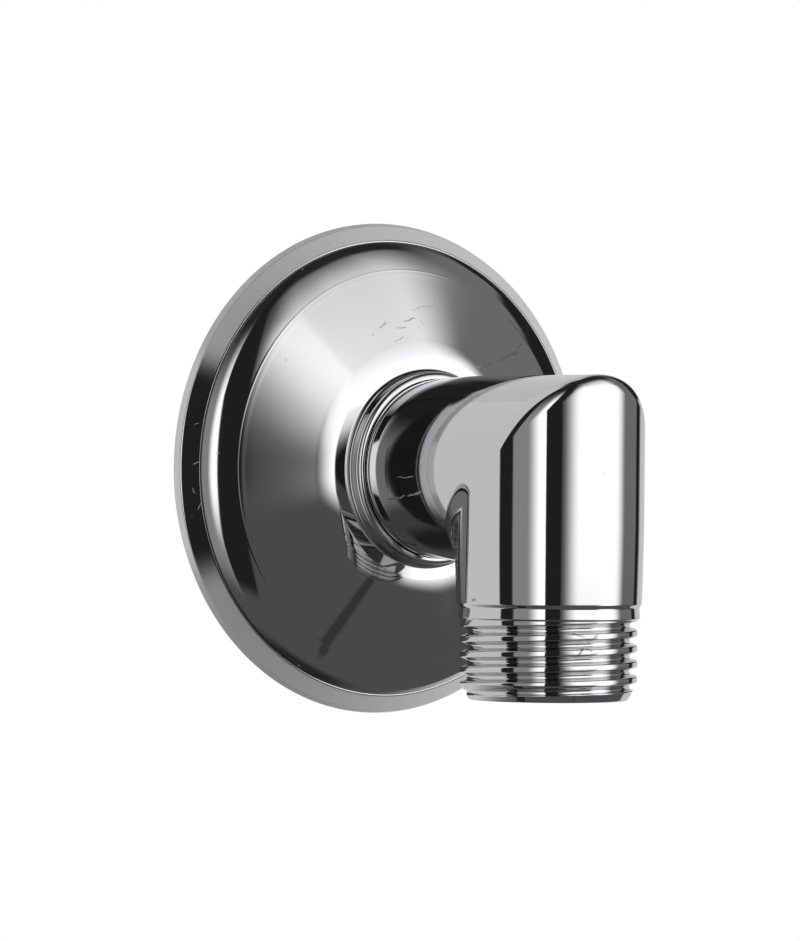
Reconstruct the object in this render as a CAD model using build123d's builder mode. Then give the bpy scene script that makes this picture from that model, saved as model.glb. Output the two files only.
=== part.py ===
from build123d import *
from math import acos, cos, degrees, radians, sin, tan
import os

# Wall outlet elbow for a shower hose. A chrome plated brass elbow screws into the wall and turns the
# water down to a hose thread, and a domed rosette on its neck covers the hole in the wall.
# Millimetres. The wall face is the XZ plane, -Y points into the room and +Z is up.
# "Height" on the neck and the rosette is the distance from the wall face into the room.

# Pipe thread G 1/2, the same on both ends of the elbow, by the radius over its crests
thread_radius = 20.955 / 2
thread_depth = 1.162
thread_run_out = 0.6
thread_chamfer = 2.0

# Elbow body
pipe_radius = 11.15
leg_offset = 35.25
leg_drop = 15.75
leg_taper = 0.2
ridge_round = 1.8
crotch_round = 2.0
crotch_clearance = 0.1
rounded_share = 0.95
neck_back_height = 3.0
neck_straight_height = 13.0
neck_step = 0.4
neck_round = 27.0
waterway_radius = 6.75
mouth_chamfer = 0.6
inlet_relief = 1.5
inlet_thread_length = 11.2
outlet_land_bevel = 0.45
outlet_land_height = 1.2
outlet_land_step = 0.25
outlet_thread_length = 7.7

# Rosette, spun from sheet, from the rim inwards. Slopes are in degrees against the wall.
sheet = 0.8
rim_radius = 30.0
rim_edge = 0.2
rim_bevel_width = 0.3
rim_bevel_height = 0.8
rim_width = 2.3
rim_slope = 34.5
rim_foot_width = 1.1
rim_line_groove = 0.2
shoulder_width = 4.2
shoulder_round = 4.4
shoulder_start_slope = 58.0
shoulder_turn_slope = 37.0
dome_slope = 25.7
dome_top_round = 13.5
crease_slope = 15.8
collar_foot_slope = 29.0
collar_turn_slope = 42.0
collar_wall_slope = 85.0
collar_foot_round = 5.75
collar_cove_round = 1.75
collar_lip_round = 0.75
collar_lip_flat = 0.07
neck_clearance = 0.1

# Sealing ring that grips the rosette on the neck
ring_section_radius = 0.7
ring_clearance = 0.02
ring_side_room = 0.4
ring_below_lip = 1.4

thread_root_radius = thread_radius - thread_depth


def outward(slope):
    """Outward direction, as (radius, height), of a skin with that slope against the wall."""
    return Vector(sin(radians(slope)), cos(radians(slope)))


def bulge(centre, radius, first_slope, last_slope):
    """Arc of a section that swells outwards, between two slopes."""
    return CenterArc(centre, radius, 90 - first_slope, first_slope - last_slope)


def hollow(centre, radius, first_slope, last_slope):
    """Arc of a section that curves inwards, between two slopes."""
    return CenterArc(centre, radius, 270 - last_slope, last_slope - first_slope)


# Neck: straight through the rosette, then wider on a long round up to the pipe
neck_radius = pipe_radius - neck_step
neck_turn = degrees(acos(1 - neck_step / neck_round))
neck_full_height = neck_straight_height + neck_round * sin(radians(neck_turn))

# Rosette's section: a bevelled rim up to a turned line, a shoulder of two tangent arcs, a conical dome that
# rounds off to a crease, and a coved collar with a round lip. Points and centres are (radius, height).
hole_radius = neck_radius + neck_clearance
bevel_top = Vector(rim_radius - rim_bevel_width, rim_edge + rim_bevel_height)
rim_line_radius = rim_radius - rim_width
rim_line = Vector(rim_line_radius, bevel_top.Y + (bevel_top.X - rim_line_radius) * tan(radians(rim_slope)))
near_centre = rim_line - outward(shoulder_start_slope) * shoulder_round
rim_inside = near_centre + outward(shoulder_start_slope) * (shoulder_round - sheet)
shoulder_turn = near_centre + outward(shoulder_turn_slope) * shoulder_round
far_width = shoulder_width - (rim_line_radius - shoulder_turn.X)
far_round = far_width / (outward(shoulder_turn_slope).X - outward(dome_slope).X)
far_centre = shoulder_turn - outward(shoulder_turn_slope) * far_round
dome_edge = far_centre + outward(dome_slope) * far_round
lip_width = collar_lip_flat + collar_lip_round * outward(collar_wall_slope).X
cove_width = collar_cove_round * (outward(collar_wall_slope).X - outward(collar_turn_slope).X)
foot_width = collar_foot_round * (outward(collar_turn_slope).X - outward(collar_foot_slope).X)
crease_radius = hole_radius + lip_width + cove_width + foot_width
dome_top_radius = crease_radius + dome_top_round * (outward(dome_slope).X - outward(crease_slope).X)
dome_top_height = dome_edge.Y + (dome_edge.X - dome_top_radius) * tan(radians(dome_slope))
top_centre = Vector(dome_top_radius, dome_top_height) - outward(dome_slope) * dome_top_round
crease = top_centre + outward(crease_slope) * dome_top_round
crease_inside = crease - outward(crease_slope) * sheet
bore_base = crease_inside.Y + (crease_inside.X - hole_radius) * tan(radians(crease_slope))
foot_centre = crease + outward(collar_foot_slope) * collar_foot_round
collar_turn = foot_centre - outward(collar_turn_slope) * collar_foot_round
cove_centre = collar_turn + outward(collar_turn_slope) * collar_cove_round
lip_start = cove_centre - outward(collar_wall_slope) * collar_cove_round
lip_centre = lip_start - outward(collar_wall_slope) * collar_lip_round
lip_top = lip_centre + outward(0) * collar_lip_round

# Sealing ring, in the collar's bore
ring_height = lip_top.Y - ring_below_lip
ring_radius = hole_radius - ring_clearance - ring_section_radius
ring_groove_radius = ring_radius - ring_section_radius - ring_clearance
ring_groove_width = 2 * (ring_section_radius + ring_side_room)

# Sketch planes whose first axis is a radius and whose second axis runs into the room or down the leg
neck_section = Plane(origin=(0, 0, 0), x_dir=(1, 0, 0), z_dir=(0, 0, -1))
leg_section = Plane(origin=(0, -leg_offset, 0), x_dir=(1, 0, 0), z_dir=(0, 1, 0))
leg_axis = Axis((0, -leg_offset, 0), (0, 0, 1))

# Outlines of the leg with its hose thread and of the inlet thread, as (radius, distance along their axis).
# The leg gets thinner from just below the round of the crotch.
leg_taper_start = pipe_radius + crotch_round + crotch_clearance
land_radius = pipe_radius - leg_taper - outlet_land_step
land_top = leg_drop + outlet_land_bevel
land_end = land_top + outlet_land_height
outlet_crest_end = land_end + outlet_thread_length
outlet_tip_drop = outlet_crest_end + thread_chamfer
leg_outline = [
    (0, 0),
    (pipe_radius, 0),
    (pipe_radius, leg_taper_start),
    (pipe_radius - leg_taper, leg_drop),
    (land_radius, land_top),
    (land_radius, land_end),
    (thread_radius, land_end),
    (thread_radius, outlet_crest_end),
    (thread_root_radius, outlet_tip_drop),
    (0, outlet_tip_drop),
]
inlet_crest_start = neck_back_height - inlet_relief - thread_run_out
inlet_crest_end = inlet_crest_start - inlet_thread_length
inlet_tip_height = inlet_crest_end - thread_chamfer
inlet_outline = [
    (0, neck_back_height),
    (thread_root_radius, neck_back_height),
    (thread_root_radius, neck_back_height - inlet_relief),
    (thread_radius, inlet_crest_start),
    (thread_radius, inlet_crest_end),
    (thread_root_radius, inlet_tip_height),
    (0, inlet_tip_height),
]

# The corner: the volume that the neck and the leg share, which leaves a mitre ridge over the top
with BuildPart() as corner:
    with BuildSketch(Plane.XZ.offset(leg_offset)):
        Circle(pipe_radius)
    extrude(amount=pipe_radius)
    with BuildSketch(Plane.XY):
        with Locations((0, -leg_offset)):
            Circle(pipe_radius)
    extrude(amount=pipe_radius, mode=Mode.INTERSECT)

# Casting: neck, leg and corner, with a sharp mitre
with BuildPart() as casting:
    with BuildSketch(neck_section):
        with BuildLine():
            CenterArc((pipe_radius - neck_round, neck_full_height), neck_round, -neck_turn, neck_turn)
            Polyline((pipe_radius, neck_full_height), (pipe_radius, leg_offset), (0, leg_offset))
            Polyline((0, leg_offset), (0, neck_back_height), (neck_radius, neck_back_height))
            Line((neck_radius, neck_back_height), (neck_radius, neck_straight_height))
        make_face()
    revolve(axis=Axis.Y)
    with BuildSketch(leg_section):
        with BuildLine():
            Polyline(*leg_outline, close=True)
        make_face()
    revolve(axis=leg_axis)
    add(corner.part)

# Its middle, where the mitre is deep enough to be rounded: the ridge over the top and the crotch below.
# Towards the sides the mitre runs out flat.
rounded_width = 2 * rounded_share * pipe_radius
casting_reach = 4 * (leg_offset + outlet_tip_drop)
with BuildPart() as bend:
    add(casting.part)
    Box(rounded_width, casting_reach, casting_reach, mode=Mode.INTERSECT)
    for lowest, round_radius in ((0, ridge_round), (-leg_drop, crotch_round)):
        mitre = bend.edges().filter_by(GeomType.ELLIPSE)
        fillet(mitre.filter_by_position(Axis.Z, lowest, lowest + leg_drop), round_radius)

# Elbow body: the casting with its rounded bend, a thread at each end and a waterway through it
with BuildPart() as elbow_body:
    add(casting.part)
    Box(rounded_width, casting_reach, casting_reach, mode=Mode.SUBTRACT)
    add(bend.part)
    with BuildSketch(neck_section):
        with BuildLine():
            Polyline(*inlet_outline, close=True)
        make_face()
    revolve(axis=Axis.Y)
    # Groove for the sealing ring, under the rosette's collar
    with BuildSketch(neck_section):
        with Locations((ring_groove_radius, ring_height)):
            Rectangle(neck_radius, ring_groove_width, align=(Align.MIN, Align.CENTER))
    revolve(axis=Axis.Y, mode=Mode.SUBTRACT)
    # Waterway, drilled from both ends and mitred at the corner like the outside
    with BuildLine() as water_line:
        Polyline(
            (0, -inlet_tip_height, 0),
            (0, -leg_offset, 0),
            (0, -leg_offset, -outlet_tip_drop),
        )
    with BuildSketch(Plane.XZ.offset(inlet_tip_height)):
        Circle(waterway_radius)
    sweep(path=water_line.line, transition=Transition.RIGHT, mode=Mode.SUBTRACT)
    inlet_mouth = elbow_body.faces().sort_by(Axis.Y)[-1].inner_wires()[0]
    outlet_mouth = elbow_body.faces().sort_by(Axis.Z)[0].inner_wires()[0]
    chamfer(inlet_mouth.edges() + outlet_mouth.edges(), mouth_chamfer)
elbow_body.part.label = "elbow_body"

with BuildPart() as rosette:
    with BuildSketch(neck_section):
        with BuildLine():
            Polyline((rim_radius, 0), (rim_radius, rim_edge), bevel_top, rim_line)
            Polyline((rim_radius, 0), (rim_radius - rim_foot_width, 0), rim_inside)
            for inset in (0, sheet):
                bulge(near_centre, shoulder_round - inset, shoulder_start_slope, shoulder_turn_slope)
                bulge(far_centre, far_round - inset, shoulder_turn_slope, dome_slope)
                inwards = outward(dome_slope) * inset
                Line(dome_edge - inwards, Vector(dome_top_radius, dome_top_height) - inwards)
                bulge(top_centre, dome_top_round - inset, dome_slope, crease_slope)
            hollow(foot_centre, collar_foot_round, collar_foot_slope, collar_turn_slope)
            hollow(cove_centre, collar_cove_round, collar_turn_slope, collar_wall_slope)
            bulge(lip_centre, collar_lip_round, collar_wall_slope, 0)
            Polyline(lip_top, (hole_radius, lip_top.Y), (hole_radius, bore_base), crease_inside)
        make_face()
    revolve(axis=Axis.Y)
    # Fine line turned between the rim and the shoulder
    with BuildSketch(neck_section):
        with Locations(rim_line):
            Circle(rim_line_groove)
    revolve(axis=Axis.Y, mode=Mode.SUBTRACT)
rosette.part.label = "rosette"

with BuildPart() as rosette_seal:
    with BuildSketch(neck_section):
        with Locations((ring_radius, ring_height)):
            Circle(ring_section_radius)
    revolve(axis=Axis.Y)
rosette_seal.part.label = "rosette_seal"

os.makedirs("parts", exist_ok=True)
export_step(elbow_body.part, "parts/elbow_body.step")
export_step(rosette.part, "parts/rosette.step")
export_step(rosette_seal.part, "parts/rosette_seal.step")
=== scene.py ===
import math

import bpy
import numpy as np
from bpy.props import FloatProperty, FloatVectorProperty, PointerProperty
from mathutils import Matrix, Vector


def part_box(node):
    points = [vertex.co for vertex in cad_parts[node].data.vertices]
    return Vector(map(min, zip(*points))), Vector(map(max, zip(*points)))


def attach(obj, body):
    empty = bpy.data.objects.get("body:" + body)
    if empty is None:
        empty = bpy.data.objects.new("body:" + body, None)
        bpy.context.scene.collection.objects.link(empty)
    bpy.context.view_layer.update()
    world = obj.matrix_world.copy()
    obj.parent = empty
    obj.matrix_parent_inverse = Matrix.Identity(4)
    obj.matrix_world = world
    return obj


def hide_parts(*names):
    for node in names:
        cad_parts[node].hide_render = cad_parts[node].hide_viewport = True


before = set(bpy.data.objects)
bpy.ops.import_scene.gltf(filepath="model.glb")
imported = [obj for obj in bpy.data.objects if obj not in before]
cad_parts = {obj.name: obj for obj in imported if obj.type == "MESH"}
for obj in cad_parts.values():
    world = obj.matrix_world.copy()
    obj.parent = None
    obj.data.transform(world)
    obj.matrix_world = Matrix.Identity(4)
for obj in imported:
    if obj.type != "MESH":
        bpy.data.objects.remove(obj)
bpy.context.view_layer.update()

bl_info = {
    "name": "Wall outlet elbow",
    "version": (1, 0, 0),
    "blender": (4, 5, 0),
    "location": "3D View > Sidebar > Outlet Elbow",
    "description": "Chrome wall outlet elbow with its rosette and sealing ring, in a small photo studio",
    "category": "Object",
}

BODY_LOW, BODY_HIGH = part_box("elbow_body")
ROSETTE_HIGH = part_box("rosette")[1]
SEAL_LOW, SEAL_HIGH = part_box("rosette_seal")
MM = 0.001
IMAGE_HEIGHT_PX = 941
SENSOR_MM = 36
ELBOW_COLUMNS = 208
ROSETTE_COLUMNS = 296
SEAL_ROWS, SEAL_COLUMNS = 28, 160
THREAD_ROWS = 120


def length(name, description, default):
    """A length property in metres."""
    return FloatProperty(name=name, description=description, default=default, unit="LENGTH", precision=5)


def angle(name, description, degrees):
    """An angle property, given in degrees."""
    return FloatProperty(name=name, description=description, default=math.radians(degrees), subtype="ANGLE")


def share(name, description, default):
    """A plain number from 0 to 1."""
    return FloatProperty(
        name=name, description=description, default=default, min=0, max=1, subtype="FACTOR"
    )


def colour(name, description, default):
    """A linear colour without alpha."""
    return FloatVectorProperty(
        name=name, description=description, default=default, min=0, max=1, size=3, subtype="COLOR"
    )


class ElbowSizes(bpy.types.PropertyGroup):
    """Sizes of the cast elbow."""

    pipe_radius: length("Pipe radius", "Outside radius of the neck and the leg", BODY_HIGH.x)
    leg_offset: length("Leg offset", "From the wall face to the leg's axis", -BODY_LOW.y - BODY_HIGH.x)
    leg_drop: length("Leg drop", "From the neck's axis to the leg's lower edge", 15.75 * MM)
    leg_taper: length("Leg taper", "How much thinner the leg's lower end is, on the radius", 0.2 * MM)
    taper_start: length("Taper start", "Below the neck's axis, where the leg starts to taper", 6.0 * MM)
    ridge_round: length("Ridge round", "Radius of the polished mitre ridge", 1.8 * MM)
    crotch_round: length("Crotch round", "Radius of the inside corner under the neck", 2.0 * MM)
    end_round: length("End round", "Radius of the leg's lower edge", 0.25 * MM)
    neck_back: length("Neck back", "From the wall face to the back of the neck", 3.0 * MM)
    neck_step: length("Neck step", "How much thinner the neck is in the rosette, on the radius", 0.4 * MM)
    neck_straight: length("Neck straight", "From the wall face to where the neck gets wider", 12.4 * MM)
    neck_full: length("Neck full", "From the wall face to where the neck is as wide as the pipe", 21.9 * MM)
    bore_radius: length("Waterway radius", "Radius of the bore for the water", 6.75 * MM)
    mouth_chamfer: length("Mouth chamfer", "Chamfer at both ends of the waterway", 0.6 * MM)
    bore_corner: length("Waterway corner", "Radius of the waterway's inside corner at the mitre", 0.5 * MM)


class ThreadSizes(bpy.types.PropertyGroup):
    """Sizes of the pipe threads."""

    crest_radius: length("Crest radius", "Radius over the thread's crests", 20.955 / 2 * MM)
    depth: length("Depth", "From crest to root", 1.162 * MM)
    pitch: length("Pitch", "From one crest to the next", 25.4 / 14 * MM)
    run_out: length("Run-out", "Length over which the thread rises from its relief", 0.6 * MM)
    chamfer: length("Chamfer", "Length of the sloping end", 2.0 * MM)
    tip_round: length("Tip round", "Radius of the edge at the thread's end", 0.3 * MM)
    tip_fade: length("Tip fade", "Length over which the groove dies out at the tip", 0.5 * MM)
    inlet_crest: length("Inlet crest", "From the back of the neck to a crest on the right", 2.1 * MM)
    outlet_crest: length("Outlet crest", "From the leg's lower edge to a crest on the right", 4.97 * MM)
    inlet_relief: length("Inlet relief", "Plain groove behind the neck", 1.5 * MM)
    cut: length("Cut", "Depth to which the worn thread still shows", 0.98 * MM)
    flank_start: share("Flank start", "From the crest's middle to the flank, in pitches", 0.16)
    flank_end: share("Flank end", "From the crest's middle to the root, in pitches", 0.38)
    flank_fall: share("Flank fall", "Share of the cut that the flank falls", 0.8)
    bow: share("Bow", "Share of the cut by which crest and root bow at a pitch aside", 0.6)
    land_radius: length("Land radius", "Radius of the waist above the hose thread", 10.66 * MM)
    land_flare: length("Land flare", "How much wider the land gets downwards, on the radius", 0.1 * MM)
    land_bevel: length("Land bevel", "Height of the bevel from the leg down to the land", 0.42 * MM)
    land_height: length("Land height", "Height of the land", 1.25 * MM)
    land_step: length("Land step", "Height of the step from the land out to the thread", 0.15 * MM)
    land_round: length("Land round", "Hollow radius from the bevel to the land", 0.35 * MM)


class RosetteSizes(bpy.types.PropertyGroup):
    """Sizes of the spun rosette."""

    sheet: length("Sheet", "Thickness of the sheet", 0.8 * MM)
    rim_radius: length("Rim radius", "Outside radius", ROSETTE_HIGH.x)
    rim_edge: length("Rim edge", "Height of the upright edge on the wall", 0.2 * MM)
    bevel_width: length("Bevel width", "Width of the steep bevel above the edge", 0.3 * MM)
    bevel_height: length("Bevel height", "Height of the steep bevel above the edge", 0.8 * MM)
    rim_width: length("Rim width", "Width of the whole rim, seen from the front", 2.3 * MM)
    rim_slope: angle("Rim slope", "Slope of the rim against the wall", 34.5)
    foot_width: length("Foot width", "Width of the rim's foot on the wall", 1.1 * MM)
    line_groove: length("Turned line", "Half width of the fine line between rim and shoulder", 0.12 * MM)
    shoulder_width: length("Shoulder width", "Width of the rounded shoulder, seen from the front", 4.2 * MM)
    shoulder_round: length("Shoulder round", "Radius of the shoulder next to the rim", 4.4 * MM)
    shoulder_start: angle("Shoulder start", "Slope of the shoulder at the rim", 58.0)
    shoulder_turn: angle("Shoulder turn", "Slope where the shoulder gets flatter", 37.0)
    bead_place: length("Bead place", "From the dome's edge out to the fine bead on the shoulder", 0.7 * MM)
    bead_width: length("Bead width", "Half width of the fine bead", 0.17 * MM)
    bead_height: length("Bead height", "Height of the fine bead", 0.009 * MM)
    dome_slope: angle("Dome slope", "Mean slope of the dome", 25.7)
    dome_bow: length("Dome bow", "How far the dome bulges between its edges", 0.032 * MM)
    dome_top_round: length("Dome top round", "Radius from the dome's slope to the crease", 13.5 * MM)
    crease_slope: angle("Crease slope", "Slope of the dome at the crease round the collar", 15.8)
    flat_slope: angle("Flat slope", "Slope of the flat between the crease and the collar", 8.5)
    flat_width: length("Flat width", "Width of the flat between the crease and the collar", 1.4 * MM)
    collar_foot_slope: angle("Collar foot slope", "Slope of the collar at the flat", 38.0)
    collar_wall_slope: angle("Collar wall slope", "Slope of the collar under its lip", 85.0)
    collar_cove_round: length("Collar cove round", "Hollow radius of the collar", 1.1 * MM)
    collar_lip_round: length("Collar lip round", "Radius of the collar's lip", 0.75 * MM)
    collar_lip_flat: length("Collar lip flat", "Width of the flat on the lip", 0.07 * MM)
    lip_height: length("Lip height", "From the wall face to the collar's lip", 12.55 * MM)
    hole_radius: length("Hole radius", "Radius of the hole for the neck", 10.85 * MM)


class SealSizes(bpy.types.PropertyGroup):
    """Sizes of the rubber sealing ring and its groove."""

    section: length("Section radius", "Radius of the ring's section", (SEAL_HIGH.y - SEAL_LOW.y) / 2)
    height: length("Height", "From the wall face to the ring", -(SEAL_HIGH.y + SEAL_LOW.y) / 2)
    outer: length("Outer radius", "Outside radius of the ring", SEAL_HIGH.x)
    groove_radius: length("Groove radius", "Radius of the groove's floor in the neck", 9.41 * MM)
    groove_width: length("Groove width", "Width of the groove", 2.2 * MM)


class FinishValues(bpy.types.PropertyGroup):
    """Colours and polish of the finishes."""

    chrome: colour("Chrome", "Colour of the chrome plate", (0.62, 0.624, 0.632))
    brass: colour("Brass", "Colour of the bare brass in the waterway", (0.72, 0.52, 0.22))
    rubber: colour("Rubber", "Colour of the sealing ring", (0.025, 0.025, 0.027))
    polish: share("Polish", "Roughness of the mirror polish", 0.035)
    rim: share("Rim", "Roughness of the rosette's brushed rim", 0.42)
    dulling: share("Dulling", "Share of the brushed rim that is matt", 0.5)
    polish_end: angle("Polish end", "From the rim's left to where its polish ends", 20.0)
    brushing_start: angle("Brushing start", "From the rim's left to where it is fully brushed", 32.0)
    screw: share("Screw", "Roughness of the threads", 0.05)
    inside: share("Inside", "Roughness of the rosette's inside and the waterway", 0.42)
    wear: share("Wear", "Strength of hairlines, specks and scratches", 0.5)
    # This colour also paints the shade in the rosette's turned line, besides real specks and scratches
    grime_and_shade: colour("Grime", "Colour of dirt, specks and scratches", (0.02, 0.02, 0.022))
    sheen: colour("Sheen", "Colour of the rubber's paler mottles", (0.06, 0.06, 0.062))


class StudioValues(bpy.types.PropertyGroup):
    """Camera and studio."""

    azimuth: angle("Azimuth", "Camera's turn round the object", -34.92)
    roll: angle("Roll", "Camera's turn about its own line of sight", 0.53)
    distance: length("Distance", "From the camera to the middle of the wall face", 0.7)
    aside: length("Aside", "Camera's shift to its right", 2.52 * MM)
    above: length("Above", "Camera's shift upwards", -0.28 * MM)
    focal_px: FloatProperty(name="Focal length", description="In pixels of the picture", default=5702)
    shell_radius: length("Card distance", "From the object to the studio's cards", 0.85)
    floor_drop: length("Floor drop", "From the object down to the floor", 0.9)
    floor_radius: length("Floor radius", "Radius of the round floor", 1.6)
    lamp_distance: length("Lamp distance", "From the object to the two lamps", 1.1)
    lamp_size: length("Lamp size", "Width of the square lamps", 0.5)
    soft_white: share("Soft white", "Strength of the surroundings' light on dull surfaces", 0.35)


GROUPS = {
    "elbow_sizes": ElbowSizes,
    "thread_sizes": ThreadSizes,
    "rosette_sizes": RosetteSizes,
    "seal_sizes": SealSizes,
    "finish_values": FinishValues,
    "studio_values": StudioValues,
}


class Wire:
    """A node socket. Arithmetic on it adds Math nodes, and add() makes any other node."""

    def __init__(self, tree, socket=None):
        self.tree = tree
        self.socket = socket

    def add(self, kind, settings=None, inputs=None, output=0):
        """A node of that type: settings first, then values or links for its sockets. Gives one output."""
        node = self.tree.nodes.new(kind)
        for key, value in (settings or {}).items():
            setattr(node, key, value)
        for key, value in (inputs or {}).items():
            if isinstance(value, Wire):
                self.tree.links.new(value.socket, node.inputs[key])
            else:
                node.inputs[key].default_value = value
        return Wire(self.tree, node.outputs[output] if len(node.outputs) else None)

    def math(self, operation, *values):
        """A Math node of that operation on these values."""
        return self.add("ShaderNodeMath", {"operation": operation}, dict(enumerate(values)))

    def __add__(self, other):
        return self.math("ADD", self, other)

    __radd__ = __add__

    def __sub__(self, other):
        return self.math("SUBTRACT", self, other)

    def __rsub__(self, other):
        return self.math("SUBTRACT", other, self)

    def __mul__(self, other):
        return self.math("MULTIPLY", self, other)

    __rmul__ = __mul__

    def __abs__(self):
        return self.math("ABSOLUTE", self)

    def rise(self, low, high):
        """0 below low, 1 above high and a smooth step between them; high may be the lower of the two."""
        down = high < low
        return self.add(
            "ShaderNodeMapRange",
            {"interpolation_type": "SMOOTHSTEP"},
            {
                "Value": self,
                "From Min": min(low, high),
                "From Max": max(low, high),
                "To Min": 1.0 if down else 0.0,
                "To Max": 0.0 if down else 1.0,
            },
        )


def closed_grid(name, points):
    """Mesh of a grid of points, rows by columns, that closes on itself both ways. Each cell is one quad,
    wound so that the normal is the column direction crossed with the row direction."""
    rows, columns = points.shape[:2]
    index = np.arange(rows * columns).reshape(rows, columns)
    below = np.roll(index, -1, axis=0)
    quads = np.stack([index, np.roll(index, -1, axis=1), np.roll(below, -1, axis=1), below], axis=-1)
    return quad_mesh(name, points, quads.reshape(-1, 4))


def open_grid(name, points):
    """Mesh of a grid of points, rows by columns, with four open edges, wound as a closed grid is."""
    rows, columns = points.shape[:2]
    index = np.arange(rows * columns).reshape(rows, columns)
    quads = np.stack([index[:-1, :-1], index[:-1, 1:], index[1:, 1:], index[1:, :-1]], axis=-1)
    return quad_mesh(name, points, quads.reshape(-1, 4))


def quad_mesh(name, points, quads):
    """Smooth mesh from an array of points and an array of quads."""
    mesh = bpy.data.meshes.new(name)
    mesh.vertices.add(points.size // 3)
    mesh.vertices.foreach_set("co", np.ascontiguousarray(points, np.float32).ravel())
    mesh.loops.add(quads.size)
    mesh.loops.foreach_set("vertex_index", np.ascontiguousarray(quads, np.int32).ravel())
    mesh.polygons.add(len(quads))
    mesh.polygons.foreach_set("loop_start", np.arange(0, quads.size, 4, dtype=np.int32))
    mesh.polygons.foreach_set("use_smooth", np.ones(len(quads), bool))
    mesh.update(calc_edges=True)
    mesh.validate()
    return mesh


def place(mesh, material):
    """Object at the origin for a finished mesh."""
    piece = bpy.data.objects.new(mesh.name, mesh)
    bpy.context.scene.collection.objects.link(piece)
    mesh.materials.append(material)
    return piece


def paint(mesh, name, values):
    """Float attribute on the mesh's points, one value for each."""
    mesh.attributes.new(name, "FLOAT", "POINT").data.foreach_set(
        "value", np.ascontiguousarray(values, np.float32).ravel()
    )


def rounded_path(corners, radii, arc_steps=6, margin=0.12 * MM):
    """Points of a polyline with its inner corners rounded. With unit directions u back and v on from a
    corner and the angle w between them, the arc of radius q starts and ends q / tan(w/2) from the corner,
    about the centre q / sin(w/2) along u + v, and runs between its ends by the sines of the shares of its
    angle. A point at a small margin on each side holds the flat runs flat."""
    corners = np.asarray(corners, float)
    pieces = [corners[:1]]
    for here, before, after, radius in zip(corners[1:-1], corners[:-2], corners[2:], radii):
        u = (before - here) / np.linalg.norm(before - here)
        v = (after - here) / np.linalg.norm(after - here)
        w = math.acos(np.clip(u @ v, -1, 1))
        reach = radius / math.tan(w / 2)
        centre = here + (u + v) / np.linalg.norm(u + v) * radius / math.sin(w / 2)
        first, last = here + u * reach - centre, here + v * reach - centre
        turn = math.pi - w
        part = np.linspace(0, 1, arc_steps + 1)[:, None]
        arc = centre + (np.sin((1 - part) * turn) * first + np.sin(part * turn) * last) / math.sin(turn)
        room = min(margin, np.linalg.norm(before - here) / 4, np.linalg.norm(after - here) / 4)
        pieces += [arc[:1] + u * room, arc, arc[-1:] + v * room]
    return np.concatenate(pieces + [corners[-1:]])


def smooth(values, low, high):
    """0 at low and 1 at high with a smooth step between them; high may be the lower of the two."""
    s = np.clip((values - low) / (high - low), 0, 1)
    return s * s * (3 - 2 * s)


def thread_radius(thread, along, turns, start, tip, crest):
    """Radius of a pipe thread at a distance along from its shoulder and a number of turns round the axis.
    One period a pitch: crest and root are about as broad and slightly bowed, by the square of the distance
    from the crest, with a smooth step between them. The thread fades in below its start and dies into the
    chamfer at its tip."""
    phase = (along - crest) / thread.pitch - turns
    aside = np.abs(phase - np.round(phase))
    wave = thread.flank_fall * smooth(aside, thread.flank_start, thread.flank_end) + thread.bow * aside**2
    root = thread.crest_radius - thread.depth
    cone = np.minimum(root + (tip - along) * thread.depth / thread.chamfer, thread.crest_radius)
    depth = thread.cut * smooth(along, start, start + thread.run_out)
    cut = np.maximum(cone - thread.crest_radius + depth * wave, 0)
    return cone - cut * smooth(along, tip, tip - thread.tip_fade)


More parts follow.
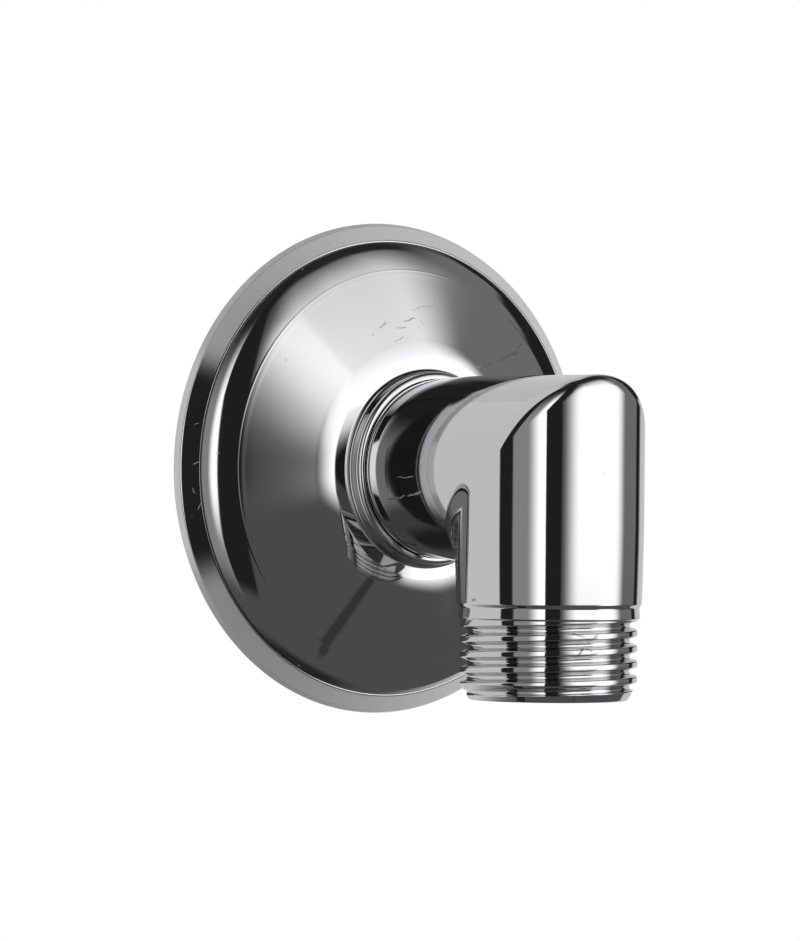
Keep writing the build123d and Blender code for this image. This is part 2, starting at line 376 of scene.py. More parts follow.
def elbow_surface(elbow, thread, seal):
    """Points of the elbow as one closed surface, rows along the water's way and columns round it.
    A column at angle a runs along the neck at (r cos a, y, r sin a) to the mitre plane y = -(L + r sin a),
    turns down on an arc there, runs down the leg at (r cos a, -(L + r sin a), z), round the thread's tip,
    and back through the bore by the same mitre. Also gives the rows' shares of bare brass and of thread."""
    round_angle = np.linspace(0, 2 * np.pi, ELBOW_COLUMNS, endpoint=False)
    cosine, sine = np.cos(round_angle), np.sin(round_angle)
    pipe, offset, bore = elbow.pipe_radius, elbow.leg_offset, elbow.bore_radius
    root = thread.crest_radius - thread.depth
    inlet_tip, outlet_tip = BODY_HIGH.y, BODY_LOW.z
    mouth = elbow.mouth_chamfer
    mouth_depth, chamfer_part, edge_part = 4 * MM, 0.6 * MM, 1.6 * MM
    relief_round, neck_round, groove_round, mouth_round = 0.2 * MM, 0.3 * MM, 0.08 * MM, 0.1 * MM

    def on_neck(radius, y):
        radius, y = np.broadcast_arrays(radius, y, subok=False)
        return np.stack(np.broadcast_arrays(radius * cosine, y, radius * sine), axis=-1)

    def on_leg(radius, z):
        return np.stack(np.broadcast_arrays(radius * cosine, -offset - radius * sine, z), axis=-1)

    def split(path):
        return path[:, :1], path[:, 1:]

    def leg_radius(z):
        s = np.clip((-z - elbow.taper_start) / (elbow.leg_drop - elbow.taper_start), 0, 1)
        return pipe - elbow.leg_taper * s**1.5

    def mitre(radius, corner, steps):
        """The arc in the mitre plane, from the neck's side to the leg's."""
        turn = np.linspace(0, np.pi / 2, steps)[:, None]
        y = -(offset + radius * sine) + corner * (1 - np.sin(turn))
        z = radius * sine - corner * (1 - np.cos(turn))
        inward = (radius - leg_radius(z[-1:])) * turn / (np.pi / 2) if radius == pipe else 0
        return np.stack(np.broadcast_arrays((radius - inward) * cosine, y + inward * sine, z), axis=-1)

    corner = elbow.crotch_round + (elbow.ridge_round - elbow.crotch_round) * (1 + sine) / 2
    eased = np.sin(np.linspace(0, np.pi / 2, 15))[1:-1, None]
    rows, brass, screw = [], [], []

    def join(points, is_brass=0.0, is_screw=0.0):
        """Adds rows, with their share of bare brass and of thread."""
        rows.append(points)
        brass.append(np.broadcast_to(is_brass, len(points)))
        screw.append(np.broadcast_to(is_screw, len(points)))

    def in_mouth(path):
        return (path[:, 0] < bore + mouth / 2).astype(float)

    # Inlet mouth and tip
    inside_y = inlet_tip - mouth_depth
    slope = np.array([thread.depth, -thread.chamfer]) / math.hypot(thread.depth, thread.chamfer)
    tip_corner = np.array([root, inlet_tip])
    inlet_end = rounded_path(
        [
            (bore, inside_y),
            (bore, inlet_tip - mouth),
            (bore + mouth, inlet_tip),
            tip_corner,
            tip_corner + slope * chamfer_part,
        ],
        [mouth_round, mouth_round, thread.tip_round],
    )[:-2]
    join(on_neck(*split(inlet_end)), in_mouth(inlet_end))

    # Inlet thread, from its tip back to the relief
    last = inlet_end[-1, 1] + elbow.neck_back
    along = np.linspace(last, thread.inlet_relief, THREAD_ROWS + 1)[1:, None]
    turns = -round_angle / (2 * np.pi)
    tip = inlet_tip + elbow.neck_back
    radius = thread_radius(thread, along, turns, thread.inlet_relief, tip, thread.inlet_crest)
    radius = np.minimum(radius, root + (along - thread.inlet_relief) * thread.depth / thread.run_out)
    join(on_neck(radius, along - elbow.neck_back), 0.0, 1.0)

    # Relief, back of the neck and the sealing ring's groove
    half = seal.groove_width / 2
    neck = pipe - elbow.neck_step
    neck_path = rounded_path(
        [
            (root, thread.inlet_relief - elbow.neck_back),
            (root, -elbow.neck_back),
            (neck, -elbow.neck_back),
            (neck, -seal.height + half),
            (seal.groove_radius, -seal.height + half),
            (seal.groove_radius, -seal.height - half),
            (neck, -seal.height - half),
            (neck, -elbow.neck_straight),
        ],
        [relief_round, neck_round] + [groove_round] * 4,
    )[1:]
    join(on_neck(*split(neck_path)))

    # Neck up to the mitre, the mitre ridge, and the leg
    part = np.linspace(0, 1, 16)[1:, None]
    fixed_y = -elbow.neck_full
    widening = pipe - elbow.neck_step * (1 - part) ** 2
    join(on_neck(widening, -elbow.neck_straight + (fixed_y + elbow.neck_straight) * part))
    neck_end = -(offset + pipe * sine) + corner
    join(on_neck(pipe, fixed_y + (neck_end - fixed_y) * eased))
    join(mitre(pipe, corner, 13))
    leg_top = pipe * sine - corner
    fixed_z = edge_part - elbow.leg_drop
    drop = (1 - np.cos(np.linspace(0, np.pi / 2, 26)))[1:, None]
    z = leg_top + (fixed_z - leg_top) * drop
    join(on_leg(leg_radius(z), z))

    # Lower edge of the leg and the land under it
    land_end = thread.land_bevel + thread.land_height
    end_path = rounded_path(
        [
            (leg_radius(fixed_z), fixed_z),
            (pipe - elbow.leg_taper, -elbow.leg_drop),
            (thread.land_radius, -elbow.leg_drop - thread.land_bevel),
            (thread.land_radius + thread.land_flare, -elbow.leg_drop - land_end),
            (thread.crest_radius, -elbow.leg_drop - land_end - thread.land_step),
        ],
        [elbow.end_round, thread.land_round, groove_round],
    )[1:]
    join(on_leg(*split(end_path)))

    # Hose thread
    tip_corner = np.array([root, outlet_tip])
    slope = np.array([thread.depth, thread.chamfer]) / math.hypot(thread.depth, thread.chamfer)
    outlet_end = rounded_path(
        [
            tip_corner + slope * chamfer_part,
            tip_corner,
            (bore + mouth, outlet_tip),
            (bore, outlet_tip + mouth),
            (bore, outlet_tip + mouth_depth),
        ],
        [thread.tip_round, mouth_round, mouth_round],
    )[2:]
    tip = -outlet_tip - elbow.leg_drop
    last = -outlet_end[0, 1] - elbow.leg_drop
    along = np.linspace(land_end + thread.land_step, last, THREAD_ROWS + 2)[1:-1, None]
    turns = round_angle / (2 * np.pi)
    radius = thread_radius(thread, along, turns, land_end, tip, thread.outlet_crest)
    join(on_leg(radius, -elbow.leg_drop - along), 0.0, 1.0)
    join(on_leg(*split(outlet_end)), in_mouth(outlet_end))

    # Waterway back to the inlet
    bore_corner = elbow.bore_corner
    bottom = outlet_end[-1, 1]
    leg_bore_top = bore * sine - bore_corner
    rise = np.linspace(0, 1, 12)[1:-1, None]
    join(on_leg(bore, bottom + (leg_bore_top - bottom) * rise), 1.0)
    join(mitre(bore, bore_corner, 5)[::-1], 1.0)
    neck_bore_start = -(offset + bore * sine) + bore_corner
    way = np.linspace(0, 1, 14)[1:-1, None]
    join(on_neck(bore, neck_bore_start + (inside_y - neck_bore_start) * way), 1.0)
    return np.concatenate(rows), np.concatenate(brass), np.concatenate(screw)


def arc_points(centre, radius, start, end, steps):
    """Points of an arc: centre + radius times the (sine, cosine) of a tilt from the neck's axis."""
    tilt = np.linspace(start, end, steps)[:, None]
    return np.asarray(centre) + radius * np.concatenate([np.sin(tilt), np.cos(tilt)], axis=1)


def rosette_section(rosette):
    """Closed section of the rosette as (radius, height), from the rim over the dome to the collar's lip and
    back inside. A steep bevel and a sloping rim reach the turned line; the shoulder is two tangent arcs with
    a bead of squared cosine form on the second; the dome is a cone, bowed by a parabola, that rounds off to
    a crease; past a flat, the hollowed collar rises to a round lip. Inside lies one sheet deeper. Also gives
    the shares of rim, of inside and of painted shade, which darkens the bottom of the turned line."""

    def outward(tilt):
        return np.array([math.sin(tilt), math.cos(tilt)])

    sheet, shoulder_round = rosette.sheet, rosette.shoulder_round
    foot = np.array([rosette.rim_radius, 0])
    edge = np.array([rosette.rim_radius, rosette.rim_edge])
    bevel = edge + (-rosette.bevel_width, rosette.bevel_height)
    line_radius = rosette.rim_radius - rosette.rim_width
    line = np.array([line_radius, bevel[1] + (bevel[0] - line_radius) * math.tan(rosette.rim_slope)])
    near_centre = line - shoulder_round * outward(rosette.shoulder_start)
    turn = near_centre + shoulder_round * outward(rosette.shoulder_turn)
    far_width = rosette.shoulder_width - (line_radius - turn[0])
    far_round = far_width / (math.sin(rosette.shoulder_turn) - math.sin(rosette.dome_slope))
    far_centre = turn - far_round * outward(rosette.shoulder_turn)
    dome_edge = far_centre + far_round * outward(rosette.dome_slope)
    foot_slope, wall_slope = rosette.collar_foot_slope, rosette.collar_wall_slope
    foot_out, wall_out, crease_out = map(outward, (foot_slope, wall_slope, rosette.crease_slope))
    lip_round, cove_round = rosette.collar_lip_round, rosette.collar_cove_round
    top_round, hole = rosette.dome_top_round, rosette.hole_radius
    lip_centre = np.array([hole + rosette.collar_lip_flat, rosette.lip_height - lip_round])
    wall_end = lip_centre + lip_round * wall_out
    root_radius = wall_end[0] + cove_round * (wall_out - foot_out)[0]
    crease_radius = root_radius + rosette.flat_width
    round_radius = crease_radius + top_round * (outward(rosette.dome_slope) - crease_out)[0]
    round_height = dome_edge[1] + (dome_edge[0] - round_radius) * math.tan(rosette.dome_slope)
    top_centre = (round_radius, round_height) - top_round * outward(rosette.dome_slope)
    crease = top_centre + top_round * crease_out
    root = crease + rosette.flat_width * np.array([-1, math.tan(rosette.flat_slope)])
    cove_centre = root + cove_round * foot_out
    crease_inside = crease - sheet * crease_out
    bore_base = crease_inside[1] + (crease_inside[0] - hole) * math.tan(rosette.crease_slope)

    # Rim, with the fine turned line cut at its top
    groove = rosette.line_groove
    bottom = line - groove * 1.3 * outward((rosette.rim_slope + rosette.shoulder_start) / 2)
    down = (bevel - line) / np.linalg.norm(bevel - line)
    line_slope = rosette.shoulder_start - groove / shoulder_round
    along_shoulder = arc_points(near_centre, shoulder_round, line_slope, rosette.shoulder_turn, 16)
    under_foot = foot * 0.999
    rim = rounded_path(
        [under_foot, foot, edge, bevel, line + down * groove * 3], [0.04 * MM, 0.07 * MM, 0.22 * MM]
    )[1:]
    cut = rounded_path(
        [line + down * groove * 1.5, line + down * groove, bottom, along_shoulder[0], along_shoulder[1]],
        [0.05 * MM, 0.07 * MM, 0.05 * MM],
        4,
    )[:-1]
    far = arc_points(far_centre, far_round, rosette.shoulder_turn, rosette.dome_slope, 120)[1:]
    from_bead = np.clip((far[:, :1] - dome_edge[0] - rosette.bead_place) / rosette.bead_width, -1, 1)
    bead = rosette.bead_height * np.cos(from_bead * np.pi / 2) ** 2
    far = far + bead * (far - far_centre) / far_round
    part = np.linspace(0, 1, 30)[1:, None]
    cone = dome_edge + ((round_radius, round_height) - dome_edge) * part
    cone = cone + 4 * rosette.dome_bow * part * (1 - part) * outward(rosette.dome_slope)
    top = arc_points(top_centre, top_round, rosette.dome_slope, rosette.crease_slope, 24)[1:]
    flat_rows = crease + (root - crease) * np.array([0.08, 0.3, 0.6, 0.92, 1])[:, None]
    cove_rows = arc_points(cove_centre, -cove_round, foot_slope, wall_slope, 16)[1:]
    lip_rows = arc_points(lip_centre, lip_round, wall_slope, 0, 14)
    bore_rows = rounded_path(
        [lip_rows[-1], (hole, lip_rows[-1, 1]), (hole, bore_base), crease_inside], [0.04 * MM, 0.1 * MM]
    )[1:-1]
    collar = np.concatenate([flat_rows, cove_rows, lip_rows, bore_rows])
    inner_top = arc_points(top_centre, top_round - sheet, rosette.crease_slope, rosette.dome_slope, 12)
    inner_far = arc_points(far_centre, far_round - sheet, rosette.dome_slope, rosette.shoulder_turn, 10)
    inner_near = arc_points(
        near_centre, shoulder_round - sheet, rosette.shoulder_turn, rosette.shoulder_start, 8
    )[1:]
    inner_cone = inner_top[-1] + (inner_far[0] - inner_top[-1]) * np.linspace(0, 1, 10)[1:-1, None]
    inner_foot = rounded_path(
        [inner_near[-1], (rosette.rim_radius - rosette.foot_width, 0), under_foot], [0.05 * MM]
    )[1:-1]

    face = [rim, cut, along_shoulder[1:], far, cone, top, collar]
    parts = face + [inner_top, inner_cone, inner_far, inner_near, inner_foot]
    order = np.repeat(np.arange(len(parts)), [len(rows) for rows in parts])
    section = np.concatenate(parts)
    # Painted shade: the rows at the bottom of the turned line are coloured near black and made rougher,
    # standing in for the shade in that groove
    groove_shade = (order == 1) & (np.linalg.norm(section - bottom, axis=1) < 1.1 * groove)
    return section, (order == 0).astype(float), (order >= len(face)).astype(float), groove_shade.astype(float)


def turned(section, columns):
    """A section of (radius, height) turned about the neck's axis: (r cos a, -height, r sin a)."""
    round_angle = np.linspace(0, 2 * np.pi, columns, endpoint=False)
    radius, height = section[:, :1], section[:, 1:]
    return np.stack(
        np.broadcast_arrays(radius * np.cos(round_angle), -height, radius * np.sin(round_angle)), axis=-1
    )


def new_material(name):
    """Material with an empty tree, and a Wire on that tree."""
    material = bpy.data.materials.new(name)
    material.use_nodes = True
    material.node_tree.nodes.clear()
    return material, Wire(material.node_tree)


def finish_surface(wire, shader):
    """Links a shader to the material's output."""
    wire.add("ShaderNodeOutputMaterial", None, {"Surface": shader})


def object_mm(wire):
    """The piece's own coordinates in millimetres."""
    own = wire.add("ShaderNodeTexCoord", None, None, "Object")
    return wire.add("ShaderNodeMapping", None, {"Vector": own, "Scale": (1000, 1000, 1000)})


def painted(wire, name):
    """A float attribute of the mesh."""
    return wire.add("ShaderNodeAttribute", {"attribute_name": name}, None, "Fac")


def noise(wire, place_mm, scale, detail, output="Fac"):
    """Noise at a place, with its scale and detail."""
    return wire.add(
        "ShaderNodeTexNoise", None, {"Vector": place_mm, "Scale": scale, "Detail": detail}, output
    )


def blend(wire, part, first, second):
    """A colour that goes from the first to the second by a share."""
    return wire.add("ShaderNodeMix", {"data_type": "RGBA"}, {"Factor": part, 6: first, 7: second}, 2)


def vector_math(wire, operation, inputs, output=0):
    """A Vector Math node of that operation; output 1 is its number."""
    return wire.add("ShaderNodeVectorMath", {"operation": operation}, inputs, output)


def worn_places(wire, place_mm, wear):
    """Hairlines and specks. A hairline is a narrow band where a stretched noise crosses its middle, kept only
    in patches; a speck is the core of a Voronoi cell, kept in a few cells."""
    stretch = {"Vector": place_mm, "Rotation": (0.3, 0.9, 0.5), "Scale": (1, 0.25, 1)}
    field = noise(wire, wire.add("ShaderNodeMapping", None, stretch), 0.35, 2.0)
    patches = noise(wire, place_mm, 0.16, 1.0)
    hairline = abs(field - 0.5).rise(0.006, 0.001) * patches.rise(0.52, 0.62)
    cells = {"Vector": place_mm, "Scale": 0.45}
    core = wire.add("ShaderNodeTexVoronoi", None, cells, "Distance").rise(0.075, 0.04)
    pick = wire.add("ShaderNodeTexVoronoi", None, cells, "Color")
    chosen = wire.add("ShaderNodeSeparateColor", None, {"Color": pick}, "Red").rise(0.8, 0.82)
    return hairline * wear, core * chosen * wear


# Scratches in millimetres: x, y and z of one end, the way from there to the other end, and half the width.
# On the rosette, y says nothing: those lie on its face wherever x and z put them.
ROSETTE_SCRATCHES = (
    ((-5.95, 0, 17.06), (1.26, 0, 0.60), 0.09),
    ((-3.46, 0, 17.06), (1.32, 0, 0.16), 0.08),
    ((-2.12, 0, 17.92), (1.60, 0, 0.31), 0.11),
    ((-4.26, 0, 15.27), (1.36, 0, 0.71), 0.06),
    ((-0.77, 0, 19.17), (4.20, 0, 1.00), 0.035),
    ((0.18, 0, 18.07), (0.30, 0, -0.53), 0.05),
    ((7.89, 0, 12.48), (2.65, 0, 0.54), 0.20),
    ((11.57, 0, 13.17), (4.27, 0, 1.33), 0.20),
    ((15.84, 0, 14.50), (1.45, 0, 1.09), 0.08),
    ((-28.2, 0, 5.00), (0.50, 0, 0.20), 0.05),
    ((-28.4, 0, 0.20), (0.90, 0, 0.50), 0.06),
    ((-28.5, 0, -2.60), (0.30, 0, -0.50), 0.05),
    ((-27.6, 0, -5.20), (0.10, 0, 0.90), 0.05),
)
ELBOW_SCRATCHES = (
    ((-3.16, -45.05, -21.68), (2.50, -0.45, 2.55), 0.20),
    ((-2.55, -45.20, -19.94), (1.15, -0.20, -1.16), 0.18),
    ((-3.50, -44.95, -19.00), (1.20, -0.20, -0.48), 0.18),
    ((-10.38, -17.2, -3.78), (-0.41, -7.0, 0.97), 0.16),
    ((-11.07, -19.6, -1.16), (-0.03, -3.2, 0.16), 0.09),
    ((-11.0, -35.38, -15.33), (0.02, 0.02, 0.02), 0.26),
)
# How much a distance along the neck counts when a scratch is drawn
ROSETTE_DEPTH, ELBOW_DEPTH = 0.0, 0.35
SCRATCH_WAVER_MM = 0.6


def scratched(wire, place_mm, scratches, depth):
    """Share of scratch at each place: near 1 within a scratch's width of the line between its two ends, with
    a wavering edge. Distances along the neck count only by that share of depth."""
    flat = (1, depth, 1)
    waver = np.array([SCRATCH_WAVER_MM, 0, SCRATCH_WAVER_MM])
    shift = noise(wire, place_mm, 0.9, 2.0, "Color")
    flattened = vector_math(wire, "MULTIPLY", {0: place_mm, 1: flat})
    seen = vector_math(wire, "MULTIPLY_ADD", {0: shift, 1: waver, 2: flattened})
    total = 0
    for end, way, width in scratches:
        start = np.multiply(end, flat) + waver / 2
        way = np.multiply(way, flat)
        from_start = vector_math(wire, "SUBTRACT", {0: seen, 1: start})
        along = vector_math(wire, "DOT_PRODUCT", {0: from_start, 1: way / (way @ way)}, 1)
        along = along.math("MINIMUM", along.math("MAXIMUM", along, 0.0), 1.0)
        nearest = vector_math(wire, "SCALE", {0: way, "Scale": along})
        gap = vector_math(wire, "DISTANCE", {0: from_start, 1: nearest}, 1)
        total = total + gap.rise(width, width * 0.4)
    return total.math("MINIMUM", total, 1.0)


def chrome_material(name, values, brushing, bare_colour, dulling, scratches, depth):
    """Polished chrome with faint hairlines, specks and scratches. One attribute marks where the plate is
    brushed, another where it is left rough and takes another colour, and a third where shade is painted into
    a fine groove."""
    material, wire = new_material(name)
    place_mm = object_mm(wire)
    hairline, speck = worn_places(wire, place_mm, values.wear)
    brushed, bare, groove_shade = (painted(wire, key) for key in ("brushed", "bare", "groove_shade"))
    scratch = scratched(wire, place_mm, scratches, depth) * values.wear * (1 - bare)
    cloud = noise(wire, place_mm, 0.6, 4.0)
    # Specks, hairlines, scratches and the cloud on bare metal are wear and tarnish; the last share is painted
    # shade, darkening the rosette's turned line towards the grime colour
    tarnish_and_shade = speck * 0.5 + hairline * 0.1 + scratch * 0.9 + bare * cloud * 0.2 + groove_shade * 0.9
    plate = blend(wire, bare, (*values.chrome, 1), (*bare_colour, 1))
    rough = values.polish + brushed * (brushing - values.polish) + bare * (values.inside - values.polish)
    grain = noise(wire, place_mm, 5.0, 3.0)
    uneven = noise(wire, place_mm, 0.25, 1.0)
    height = uneven * 3e-6 + grain * bare * 4e-6
    bump = wire.add("ShaderNodeBump", None, {"Strength": 1.0, "Distance": 1.0, "Height": height})
    shader = wire.add(
        "ShaderNodeBsdfPrincipled",
        None,
        {
            "Base Color": blend(wire, tarnish_and_shade, plate, (*values.grime_and_shade, 1)),
            "Metallic": 1 - brushed * dulling if dulling else 1.0,
            "Roughness": rough + hairline * 0.12 + speck * 0.3 + scratch * 0.6 + groove_shade * 0.4,
            "Normal": bump,
        },
    )
    finish_surface(wire, shader)
    return material


def rubber_material(values):
    """Black rubber with a fine mottled sheen."""
    material, wire = new_material("seal_rubber")
    mottle = noise(wire, object_mm(wire), 2.5, 4.0)
    bump = wire.add("ShaderNodeBump", None, {"Strength": 0.4, "Distance": 1.0, "Height": mottle * 3e-5})
    shader = wire.add(
        "ShaderNodeBsdfPrincipled",
        None,
        {
            "Base Color": blend(wire, mottle, (*values.rubber, 1), (*values.sheen, 1)),
            "Roughness": 0.5 + mottle * 0.2,
            "Normal": bump,
        },
    )
    finish_surface(wire, shader)
    return material


def sized(context, group):
    """The scene's property group of that name."""
    return getattr(context.scene, group)


class OUTLET_OT_elbow(bpy.types.Operator):
    """Make the cast elbow with its rounded mitre ridge and helical threads"""

    bl_idname = "outlet.elbow"
    bl_label = "Elbow Body"

    def execute(self, context):
        sizes = (sized(context, key) for key in ("elbow_sizes", "thread_sizes", "seal_sizes"))
        values = sized(context, "finish_values")
        points, brass, screw = elbow_surface(*sizes)
        mesh = closed_grid("elbow", points)
        paint(mesh, "bare", np.repeat(brass, ELBOW_COLUMNS))
        paint(mesh, "brushed", np.repeat(screw, ELBOW_COLUMNS))
        paint(mesh, "groove_shade", np.zeros(points.shape[:2]))
        material = chrome_material(
            "elbow_chrome", values, values.screw, values.brass, 0.0, ELBOW_SCRATCHES, ELBOW_DEPTH
        )
        piece = place(mesh, material)
        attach(piece, "root")
        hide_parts("elbow_body")
        return {"FINISHED"}


class OUTLET_OT_rosette(bpy.types.Operator):
    """Make the spun rosette with its rim, shoulder, conical dome and collar"""

    bl_idname = "outlet.rosette"
    bl_label = "Rosette"

    def execute(self, context):
        values = sized(context, "finish_values")
        section, rim, inside, groove_shade = rosette_section(sized(context, "rosette_sizes"))
        points = turned(section, ROSETTE_COLUMNS)
        mesh = closed_grid("cover_rosette", points)
        from_left = np.arctan2(np.abs(points[..., 2]), -points[..., 0])
        paint(mesh, "brushed", rim[:, None] * smooth(from_left, values.polish_end, values.brushing_start))
        paint(mesh, "bare", np.repeat(inside, ROSETTE_COLUMNS))
        # Painted shade: marks the bottom of the turned line, which the material colours near black
        paint(mesh, "groove_shade", np.repeat(groove_shade, ROSETTE_COLUMNS))
        material = chrome_material(
            "rosette_chrome",
            values,
            values.rim,
            values.chrome,
            values.dulling,
            ROSETTE_SCRATCHES,
            ROSETTE_DEPTH,
        )
        piece = place(mesh, material)
        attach(piece, "root")
        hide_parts("rosette")
        return {"FINISHED"}


class OUTLET_OT_seal(bpy.types.Operator):
    """Make the rubber ring that grips the rosette on the neck"""

    bl_idname = "outlet.seal"
    bl_label = "Sealing Ring"

    def execute(self, context):
        seal = sized(context, "seal_sizes")
        turn = np.linspace(0, 2 * np.pi, SEAL_ROWS, endpoint=False)[:, None]
        middle = np.array([seal.outer - seal.section, seal.height])
        section = middle + seal.section * np.concatenate([np.cos(turn), np.sin(turn)], axis=1)
        mesh = closed_grid("seal_ring", turned(section, SEAL_COLUMNS))
        piece = place(mesh, rubber_material(sized(context, "finish_values")))
        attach(piece, "root")
        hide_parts("rosette_seal")
        return {"FINISHED"}


# Cards of the studio: level, the turn to the left from the wall's normal where the card has faded and where
# it is full (faded, full, full, faded), and the same upwards. Degrees; later cards lie over earlier ones.
CARDS = (
    (0.215, (-104, -101, -60, -44), (-12, 0, 40, 56)),
    (0.42, (-80, -58, -20, 0), (30, 42, 50, 68)),
    (0.78, (96.5, 98, 190, 200), (-60, -25, 70, 82)),
    (0.70, (-200, -190, -104, -101), (-60, -25, 4, 38)),
    (0.70, (-200, -190, -145, -125), (0, 20, 70, 82)),
    (0.95, (-4, 0, 6, 22), (2, 16, 34, 46)),
    (1.64, (-66, -44, -2, 21), (-15, -3, 20, 73)),
    (1.64, (-66, -44, -34, -26), (-38, -22, 24, 30)),
    (0.33, (39, 40, 78, 80), (-50, -30, 20, 50)),
    (1.70, (39, 40, 44, 62), (-32, -4, 14, 56)),
    (0.02, (20, 22, 38.5, 39.3), (-44, -36, 95, 96)),
    (0.02, (79, 81, 95.5, 97), (-88, -84, 76, 82)),
    (0.02, (-100, -98.5, -91, -89), (-12, -9, 9, 12)),
    (0.02, (-130, -124, -89, -86), (6, 9, 19, 23)),
    (0.02, (-130, -124, -92, -88), (17, 21, 26, 30)),
    (0.02, (-130, -124, -100, -95), (24, 28, 34, 40)),
    (0.05, (-18.5, -17, -14, -12.5), (-60, -52, -41, -36)),
)
DARK_LEVEL, ROOM_LEVEL = 0.028, 0.104
# Lamps: name, turn to the left from the wall's normal in degrees, and watts; both stand a little raised
LAMPS = (("soft_light_left", 50, 2.0), ("soft_light_right", -65, 20.0))
LAMP_RISE = 0.1


def card_level(azimuth, elevation):
    """Brightness of the studio's cards in a direction, in degrees: a dim room, dimmer at its top and bottom,
    and over it each card, with a smooth step from faded to full at each of its edges."""
    room = smooth(elevation, 60, 40) * smooth(elevation, -80, -62)
    level = DARK_LEVEL + (ROOM_LEVEL - DARK_LEVEL) * room
    for bright, (left, left_full, right_full, right), (low, low_full, high_full, high) in CARDS:
        mask = smooth(azimuth, left, left_full) * smooth(azimuth, right, right_full)
        mask = mask * smooth(elevation, low, low_full) * smooth(elevation, high, high_full)
        level = level + (bright - level) * mask
    return level


def studio_cards(studio):
    """A ball of cards round the object, a grid of azimuth by elevation, whose brightness is painted on its
    points. It is seen in the metal and not by the camera."""
    azimuth = np.linspace(-180, 180, 721)[None, :]
    elevation = np.linspace(-89.5, 89.5, 240)[:, None]
    a, e = np.radians(azimuth), np.radians(elevation)
    points = studio.shell_radius * np.stack(
        np.broadcast_arrays(-np.sin(a) * np.cos(e), -np.cos(a) * np.cos(e), np.sin(e)), axis=-1
    )
    mesh = open_grid("studio_cards", points)
    paint(mesh, "card_level", card_level(*np.broadcast_arrays(azimuth, elevation)))
    material, wire = new_material("card_light")
    level = painted(wire, "card_level")
    light = wire.add("ShaderNodeCombineColor", None, {"Red": level, "Green": level, "Blue": level})
    finish_surface(wire, wire.add("ShaderNodeEmission", None, {"Color": light, "Strength": 1.0}))
    material.cycles.emission_sampling = "NONE"
    cards = place(mesh, material)
    cards.visible_camera = False
    cards.visible_diffuse = False
    cards.visible_shadow = False
    return cards


def studio_floor(studio):
    """Pale round floor: a polar grid of angle by radius."""
    radius = np.linspace(0.002, studio.floor_radius, 40)[None, :]
    turn = np.linspace(0, 2 * np.pi, 97)[:, None]
    points = np.stack(
        np.broadcast_arrays(radius * np.cos(turn), radius * np.sin(turn), -studio.floor_drop), axis=-1
    )
    material, wire = new_material("pale_floor")
    mottle = wire.add("ShaderNodeTexNoise", None, {"Scale": 3.0, "Detail": 2.0}, "Fac")
    shade = blend(wire, mottle, (0.9, 0.9, 0.9, 1), (0.93, 0.93, 0.93, 1))
    finish_surface(wire, wire.add("ShaderNodeBsdfDiffuse", None, {"Color": shade}))
    return place(open_grid("studio_floor", points), material)


def white_world(studio):
    """White for the camera and for what metal shows, softer for the light on dull surfaces."""
    world = bpy.data.worlds.new("studio_world")
    world.use_nodes = True
    world.node_tree.nodes.clear()
    wire = Wire(world.node_tree)
    path = wire.add("ShaderNodeLightPath")
    sockets = path.socket.node.outputs
    seen = Wire(wire.tree, sockets["Is Camera Ray"])
    for name in ("Is Glossy Ray", "Is Transmission Ray"):
        seen = seen.math("MAXIMUM", seen, Wire(wire.tree, sockets[name]))
    strength = studio.soft_white + seen * (1 - studio.soft_white)
    background = wire.add("ShaderNodeBackground", None, {"Color": (1, 1, 1, 1), "Strength": strength})
    wire.add("ShaderNodeOutputWorld", None, {"Surface": background})
    bpy.context.scene.world = world


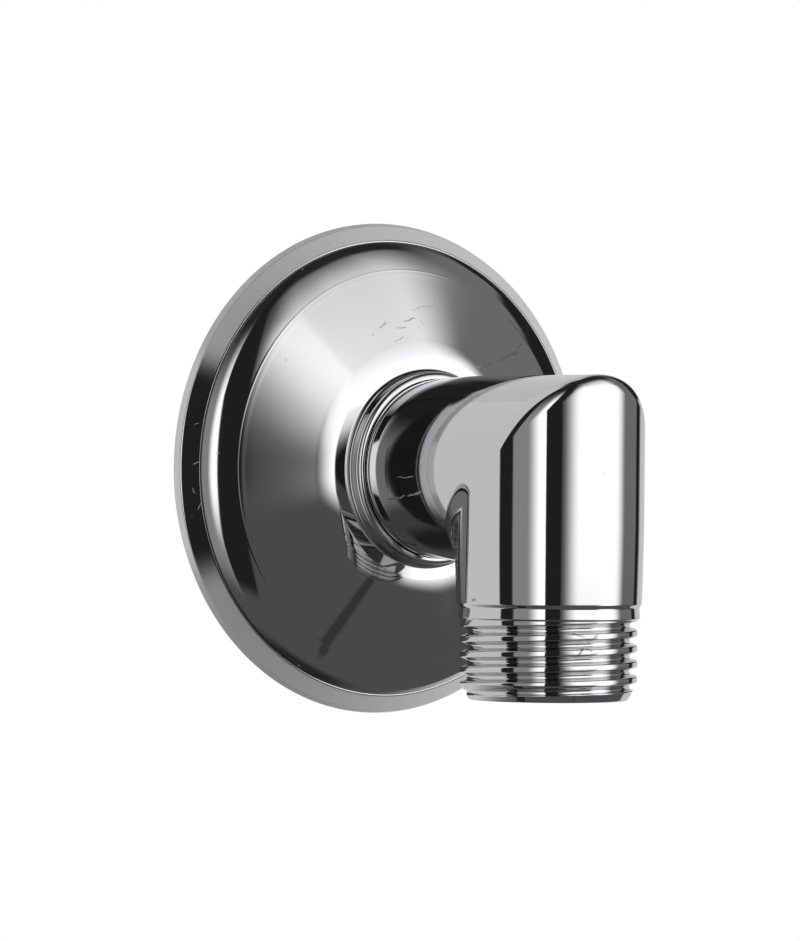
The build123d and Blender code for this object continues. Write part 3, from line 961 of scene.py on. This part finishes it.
class OUTLET_OT_studio(bpy.types.Operator):
    """Make the floor, the cards, the lamps, the white surroundings and the camera"""

    bl_idname = "outlet.studio"
    bl_label = "Studio"

    def execute(self, context):
        studio = sized(context, "studio_values")
        studio_cards(studio)
        studio_floor(studio)
        white_world(studio)
        for name, azimuth, watts in LAMPS:
            a = math.radians(azimuth)
            away = Vector((-math.sin(a), -math.cos(a), LAMP_RISE)).normalized()
            lamp = bpy.data.lights.new(name, "AREA")
            lamp.energy = watts
            lamp.size = studio.lamp_size
            holder = bpy.data.objects.new(name, lamp)
            holder.location = away * studio.lamp_distance
            holder.rotation_euler = away.to_track_quat("Z", "Y").to_euler()
            holder.visible_glossy = False
            holder.visible_camera = False
            context.scene.collection.objects.link(holder)

        a, r = studio.azimuth, studio.roll
        back = Vector((math.sin(a), -math.cos(a), 0))
        level = Vector((math.cos(a), math.sin(a), 0))
        right = level * math.cos(r) + Vector((0, 0, 1)) * math.sin(r)
        up = back.cross(right)
        lens = bpy.data.cameras.new("camera")
        lens.sensor_width = SENSOR_MM
        lens.lens = SENSOR_MM * studio.focal_px / IMAGE_HEIGHT_PX
        lens.clip_start = 0.05
        camera = bpy.data.objects.new("camera", lens)
        position = back * studio.distance + right * studio.aside + up * studio.above
        turn = Matrix((right, up, back)).transposed().to_4x4()
        camera.matrix_world = Matrix.Translation(position) @ turn
        context.scene.collection.objects.link(camera)
        context.scene.camera = camera
        context.scene.view_settings.view_transform = "Standard"
        return {"FINISHED"}


OPERATORS = (OUTLET_OT_elbow, OUTLET_OT_rosette, OUTLET_OT_seal, OUTLET_OT_studio)


class OUTLET_PT_panel(bpy.types.Panel):
    """Lists the pieces and their sizes"""

    bl_idname = "OUTLET_PT_panel"
    bl_label = "Outlet Elbow"
    bl_space_type = "VIEW_3D"
    bl_region_type = "UI"
    bl_category = "Outlet Elbow"

    def draw(self, context):
        for operator in OPERATORS:
            self.layout.operator(operator.bl_idname)
        for key, group in GROUPS.items():
            box = self.layout.box()
            box.label(text=group.__doc__)
            for name in group.__annotations__:
                box.prop(sized(context, key), name)


def register():
    for group in GROUPS.values():
        bpy.utils.register_class(group)
    for key, group in GROUPS.items():
        setattr(bpy.types.Scene, key, PointerProperty(type=group))
    for part in (*OPERATORS, OUTLET_PT_panel):
        bpy.utils.register_class(part)


def unregister():
    for part in (OUTLET_PT_panel, *reversed(OPERATORS)):
        bpy.utils.unregister_class(part)
    for key in reversed(GROUPS):
        delattr(bpy.types.Scene, key)
    for group in reversed(GROUPS.values()):
        bpy.utils.unregister_class(group)


def main():
    register()
    bpy.ops.outlet.elbow()
    bpy.ops.outlet.rosette()
    bpy.ops.outlet.seal()
    bpy.ops.outlet.studio()


if __name__ == "__main__":
    main()
